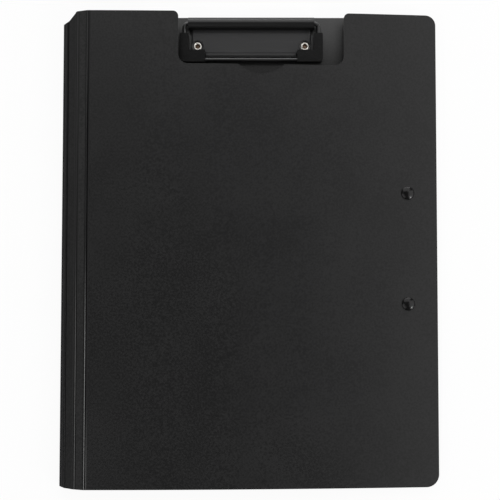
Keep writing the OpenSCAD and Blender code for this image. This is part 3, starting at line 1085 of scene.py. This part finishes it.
@dataclass
class Spine:
    """The six pressed creases between the panel, the strips and the cover."""

    finishes: Finishes
    axes: tuple[Point, ...] = (
        (-110.8153, 0.7),
        (-118.6084, 1.0266),
        (-126.0676, 3.3071),
        (-121.8194, 9.8488),
        (-115.5091, 14.4335),
        (-108.1795, 17.1012),
    )
    headings: tuple[float, ...] = (180.0, 177.6, 163.0, 57.0, 36.0, 20.0, -0.3)
    names: tuple[str, ...] = (
        "panel_crease_web", "lower_crease_web", "wall_foot_web", "wall_head_web", "upper_crease_web", "cover_crease_web"
    )
    chain: tuple[tuple[Part, str], ...] = (
        (Part.BOARD, "back_panel"),
        (Part.LOWER_INNER, "spine_strip_lower_inner"),
        (Part.LOWER_OUTER, "spine_strip_lower_outer"),
        (Part.WALL, "spine_wall"),
        (Part.UPPER_OUTER, "spine_strip_upper_outer"),
        (Part.UPPER_INNER, "spine_strip_upper_inner"),
        (Part.COVER, "front_cover"),
    )
    # Wall and upper creases: light ridges partly painted highlight, dark channels painted shade, both fading along the
    # crease as the light falls; the bodies take the painted tones of the wall and upper strips beside them.
    looks: tuple[CreaseLook, ...] = (
        PLAIN_CREASE,
        PLAIN_CREASE,
        PLAIN_CREASE,
        CreaseLook(
            ridges=(Stripe(-3.4, -3.4, 0.5, 0.06, 0.0, 110.0, 40.0), Stripe(0.2, 0.2, 0.34, 0.0, 0.2, -70.0, -150.0)),
            channels=(Stripe(-0.8, -1.1, 0.62, 0.95, 0.85),),
            reach_before=4.4,
            reach_after=0.9,
            body=(0.0062, 0.0062, 0.0066),
            specular=0.045,
        ),
        CreaseLook(
            ridges=(Stripe(1.0, 1.4, 0.3, 0.16, 0.0, 140.0, 40.0), Stripe(1.0, 1.4, 0.28, 0.0, 0.46, 15.0, -75.0)),
            channels=(Stripe(1.6, 2.0, 0.28, 0.1, 0.95, 110.0, -60.0), Stripe(0.4, 0.8, 0.28, 0.0, 0.9, 20.0, -95.0)),
            reach_before=0.7,
            reach_after=2.5,
            body=(0.0195, 0.0195, 0.0196),
            specular=0.12,
        ),
        CreaseLook(
            ridges=(
                Stripe(0.15, 0.35, 0.28, 0.16, 0.0, 120.0, 70.0),
                Stripe(0.15, 0.35, 0.28, 0.0, 0.95, 5.0, -70.0),
                Stripe(1.7, 1.7, 0.3, 0.0, 0.42, -95.0, -150.0),
            ),
            channels=(Stripe(0.9, 1.0, 0.36, 0.2, 0.92, 150.0, 85.0), Stripe(-0.4, -0.3, 0.22, 0.0, 0.6)),
            reach_before=0.8,
            reach_after=2.2,
        ),
    )
    end_gap: float = 0.3
    near: float = 1.2

    def build(self) -> None:
        """Builds the six webs."""
        parts = [part for part, _ in self.chain]
        for i, name in enumerate(self.names):
            joined = (*parts[i : i + 2], *self.headings[i : i + 2])
            Crease(name, *self.axes[i], *joined, *self._span(i), self.looks[i]).build(self.finishes.effects)

    def _span(self, place: int) -> tuple[float, float]:
        """Finds how far both neighbours reach along a crease.

        Args:
            place: which crease.

        Returns:
            Lowest and highest Y of the web.
        """
        x, z = self.axes[place]
        low, high = -math.inf, math.inf
        for _, node in self.chain[place : place + 2]:
            marks = [v.co / MM for v in frame["nodes"][node].data.vertices]
            beside = [mark.y for mark in marks if math.hypot(mark.x - x, mark.z - z) < self.near]
            low, high = max(low, min(beside)), min(high, max(beside))
        return low + self.end_gap, high - self.end_gap


# --- the clip


@dataclass
class WireClip:
    """Satin steel plate with a rolled barrel, the wire bail, its rubber grips and the rivets."""

    finishes: Finishes
    rivet_x: tuple[float, float] = (-35.265, 38.035)
    rivet_y: float = 138.7
    plate_top: float = 3.4
    head_r: float = 2.8
    hollow_r: float = 1.55
    hollow_margin: float = 0.06
    hollow_reach: float = 2.0
    barrel_y: float = 149.4
    lip_x: tuple[float, float] = (-29.6, 31.9)
    lip_round: float = 36.0
    front_tilt: float = -0.75
    plate_round: float = 0.25
    barrel_rise: float = 0.15
    wire_round: float = 0.1
    grip_round: float = 0.7

    def build(self) -> None:
        """Builds and dresses the clip's pieces."""
        plate = Bench.copy_of("clip_base_plate", "clip_plate_and_barrel")
        Bench.soften(plate, self.plate_round, segments=3)
        Bench.dress(plate, Slot.STEEL, self.finishes.steel, self.finishes.barrel)
        # Barrel faces take the darker steel, painted shade of the rolled barrel.
        rise = self.plate_top + self.barrel_rise
        for face in plate.data.polygons:
            face.material_index = int(face.center.y > self.barrel_y * MM or face.center.z > rise * MM)
        Bench.place(plate, Part.BOARD, "clip_base_plate")
        self._lip()
        wire = Bench.copy_of("clip_spring_wire", "bail_wire")
        Bench.soften(wire, self.wire_round, corner=60.0, smooth=50.0)
        Bench.dress(wire, Slot.WIRE, self.finishes.wire)
        Bench.place(wire, Part.BAIL, "clip_spring_wire")
        for side in ("left", "right"):
            self._grip(side)
        for side, x in zip(("left", "right"), self.rivet_x):
            self._rivet(side, x)
        Bench.repaint("clip_rivet_washers", self.finishes.nickel)

    def _lip(self) -> None:
        """Rolls the plate's front edge down to a bead behind the wire's bar."""
        top = self.plate_top
        outline = [
            (133.9, top + 0.01), (132.35, top + 0.01), (132.2, top - 0.12), (132.08, top - 0.42),
            (131.9, top - 0.42), (131.8, top - 0.24), (131.66, top - 0.12), (131.52, top - 0.14),
            (131.4, top - 0.26), (131.35, top - 0.5), (131.35, 1.7), (131.55, 1.5), (133.9, 1.5),
        ]
        lip = Bench.run_across("plate_front_lip", outline, *self.lip_x)
        Bench.smooth(lip, self.lip_round)
        Bench.dress(lip, Slot.STEEL, self.finishes.steel, self.finishes.barrel)
        # Front-facing faces take the darker steel, painted shade on the bead's front.
        for face in lip.data.polygons:
            face.material_index = int(face.normal.y < self.front_tilt)
        Bench.place(lip, Part.BOARD)

    def _grip(self, side: str) -> None:
        """Rounds one rubber grip all over, as a dipped or slipped-on sleeve is.

        Args:
            side: left or right.
        """
        grip = Bench.copy_of(f"clip_grip_{side}", f"rubber_grip_{side}")
        Bench.soften(grip, self.grip_round, segments=4, corner=50.0)
        Bench.dress(grip, Slot.RUBBER, self.finishes.rubber)
        Bench.place(grip, Part.BAIL, f"clip_grip_{side}")

    def _rivet(self, side: str, x: float) -> None:
        """Turns one hollow rivet with a rolled head, and the pressed ring about it.

        Args:
            side: left or right.
            x: its place along the clip.
        """
        foot = (x, self.rivet_y, 0.0)
        top = self.plate_top - 0.1
        crest = self.plate_top + 0.22
        r, h = self.head_r, self.hollow_r
        ring = (
            (r - 0.2, top - 0.4), (r + 0.05, top + 0.02), (r + 0.9, crest - 0.03), (r + 1.04, crest),
            (r + 1.16, crest - 0.04), (r + 1.27, top + 0.06), (r + 1.2, top - 0.4), (r - 0.2, top - 0.4),
        )
        profile = (
            (0.0, 0.05), (h + 0.35, 0.05), (h + 0.35, top - 1.0), (r - 0.5, top - 0.95),
            (r - 0.12, top - 0.8), (r, top - 0.5), (r - 0.08, top - 0.22), (r - 0.35, top - 0.04),
            (r - 0.7, top), (h + 0.3, top - 0.06), (h + 0.08, top - 0.25), (h, top - 0.55),
            (h - 0.05, top - 1.5), (h - 0.3, top - 1.75), (0.45, top - 1.7), (0.0, top - 1.55),
        )
        seat = Bench.lathe(f"rivet_seat_{side}", foot, ring)
        # The pressed ring takes the darker steel, a painted shade halo about the rivet.
        Bench.dress(seat, Slot.STEEL, self.finishes.barrel)
        Bench.place(seat, Part.BOARD)
        rivet = Bench.lathe(f"hollow_rivet_{side}", foot, profile)
        Bench.dress(rivet, Slot.NICKEL, self.finishes.nickel, self.finishes.hollow)
        wall, floor = h + self.hollow_margin, top - self.hollow_reach
        for face in rivet.data.polygons:
            out = math.hypot(face.center.x - x * MM, face.center.y - self.rivet_y * MM)
            face.material_index = int(out < wall * MM and face.center.z > floor * MM)
        Bench.place(rivet, Part.BOARD, "clip_rivets")


# --- studs and pocket


@dataclass
class PressStuds:
    """The two press studs: domed caps over the cover, sockets, posts and back caps."""

    finishes: Finishes
    edge_round: float = 0.18

    def build(self) -> None:
        """Builds the caps and dresses the rest."""
        caps = Bench.copy_of("press_stud_caps", "stud_domed_caps")
        Bench.soften(caps, self.edge_round, segments=3, corner=28.0, smooth=26.0)
        Bench.dress(caps, Slot.STUD, self.finishes.gloss)
        Bench.place(caps, Part.COVER, "press_stud_caps")
        for node in ("press_stud_sockets", "press_stud_posts", "press_stud_back_caps"):
            Bench.repaint(node, self.finishes.gloss)


@dataclass
class StoragePocket:
    """The film pocket inside the cover."""

    finishes: Finishes

    def build(self) -> None:
        """Dresses the pocket."""
        Bench.repaint("inner_pocket", self.finishes.film)


# --- studio


@dataclass(frozen=True)
class Softbox:
    """One soft lamp that points at the middle of the floor: its place, size and power."""

    name: str
    place: tuple[float, float, float]
    size: tuple[float, float]
    power: float


@dataclass
class Studio:
    """White floor, soft lamps and the camera of the photograph."""

    floor_size: float = 60.0
    floor_drop: float = 0.0002
    floor_grey: float = 0.93
    world_level: float = 0.17
    white_share: float = 0.92
    focal_px: float = 913.18
    frame_px: float = 500.0
    sensor_mm: float = 36.0
    clip_start: float = 0.01
    drop_px: float = 18.94
    camera_place: tuple[float, float, float] = (0.0011, -0.04178, 0.620)
    camera_turn: tuple[float, float, float] = (0.0456, 0.0007, 0.0006)
    boxes: tuple[Softbox, ...] = (
        Softbox("back_box", (0.0, 1.379, 1.157), (2.2, 1.7), 16.0),
        Softbox("back_strip", (0.0, 2.0, 0.56), (2.6, 0.2), 12.0),
        Softbox("right_box", (1.379, 0.0, 1.157), (2.0, 1.8), 15.5),
        Softbox("left_front_box", (-1.13, -0.79, 1.157), (1.8, 1.4), 8.8),
        Softbox("key_lamp", (1.281, -0.965, 0.817), (0.44, 0.28), 8.0),
    )

    def build(self) -> None:
        """Builds the floor, the world, the lamps and the camera."""
        self._floor()
        self._world()
        for box in self.boxes:
            self._lamp(box)
        self._camera()
        bpy.context.scene.view_settings.view_transform = "Standard"

    def _floor(self) -> None:
        """Lays the floor, which shows white and keeps the object's shadow."""
        Bench.clear()
        bpy.ops.mesh.primitive_plane_add(size=self.floor_size, location=(0, 0, -self.floor_drop))
        floor = bpy.context.object
        floor.name = floor.data.name = "studio_floor"
        material, tree = new_material("studio_white")
        matt = tree.add("ShaderNodeBsdfDiffuse", Color=(*grey(self.floor_grey), 1.0))
        white = tree.add("ShaderNodeEmission", Color=(*grey(1.0), 1.0))
        path = tree.add("ShaderNodeLightPath").outputs
        seen = tree.math("MAXIMUM", path["Is Camera Ray"], path["Is Glossy Ray"])
        seen = tree.math("MAXIMUM", seen, path["Is Transmission Ray"])
        share = tree.math("MULTIPLY", seen, self.white_share)
        mixer = tree.add("ShaderNodeMixShader")
        for value, target in zip((share, matt.outputs[0], white.outputs[0]), mixer.inputs):
            tree.link(value, target)
        tree.output(mixer.outputs[0])
        floor.data.materials.append(material)
        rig.stage(floor)

    def _world(self) -> None:
        """Sets the plain world: grey as a light, white where the camera sees past the floor."""
        world = bpy.data.worlds.new("studio_world")
        world.use_nodes = True
        tree = Tree(world.node_tree)
        seen = tree.add("ShaderNodeLightPath").outputs["Is Camera Ray"]
        level = tree.math("MAXIMUM", seen, self.world_level)
        plain = tree.add("ShaderNodeBackground", Color=(*grey(1.0), 1.0), Strength=level)
        tree.output(plain.outputs[0], "ShaderNodeOutputWorld")
        bpy.context.scene.world = world

    def _lamp(self, box: Softbox) -> None:
        """Hangs one softbox.

        Args:
            box: the lamp's place, size and power.
        """
        light = bpy.data.lights.new(box.name, "AREA")
        light.shape = "RECTANGLE"
        light.size, light.size_y = box.size
        light.energy = box.power
        lamp = bpy.data.objects.new(box.name, light)
        bpy.context.scene.collection.objects.link(lamp)
        lamp.location = box.place
        lamp.rotation_euler = (Vector() - Vector(box.place)).to_track_quat("-Z", "Y").to_euler()
        lamp.visible_camera = False

    def _camera(self) -> None:
        """Sets the camera of the photograph."""
        data = bpy.data.cameras.new("photo_camera")
        data.sensor_width = self.sensor_mm
        data.sensor_fit = "HORIZONTAL"
        data.lens = self.focal_px / self.frame_px * self.sensor_mm
        data.shift_y = self.drop_px / self.frame_px
        data.clip_start = self.clip_start
        camera = bpy.data.objects.new("photo_camera", data)
        bpy.context.scene.collection.objects.link(camera)
        tilt, pan, roll = self.camera_turn
        turn = Matrix.Rotation(tilt, 4, "X") @ Matrix.Rotation(pan, 4, "Y") @ Matrix.Rotation(roll, 4, "Z")
        camera.matrix_world = Matrix.Translation(self.camera_place) @ turn
        bpy.context.scene.camera = camera


def write_sizes(before: tuple[Vector, Vector], after: tuple[Vector, Vector]) -> None:
    """Writes the CAD box and the dressed model's box.

    Args:
        before: corners of the CAD box.
        after: corners of the dressed model's box.
    """
    with open(SIZE_FILE, "w") as out:
        json.dump({"cad": [list(c) for c in before], "visual": [list(c) for c in after]}, out, indent=1)


def main() -> None:
    """Builds the clipboard and the studio in order."""
    logging.basicConfig(level=logging.INFO, format="%(name)s: %(message)s")
    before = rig.bounds()
    finishes = Finishes()
    for assembly in (SheetCase, Spine, WireClip, PressStuds, StoragePocket):
        assembly(finishes).build()
        LOG.info("%s done", assembly.__name__)
    Studio().build()
    Bench.clear()
    write_sizes(before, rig.bounds())


if __name__ == "__main__":
    main()
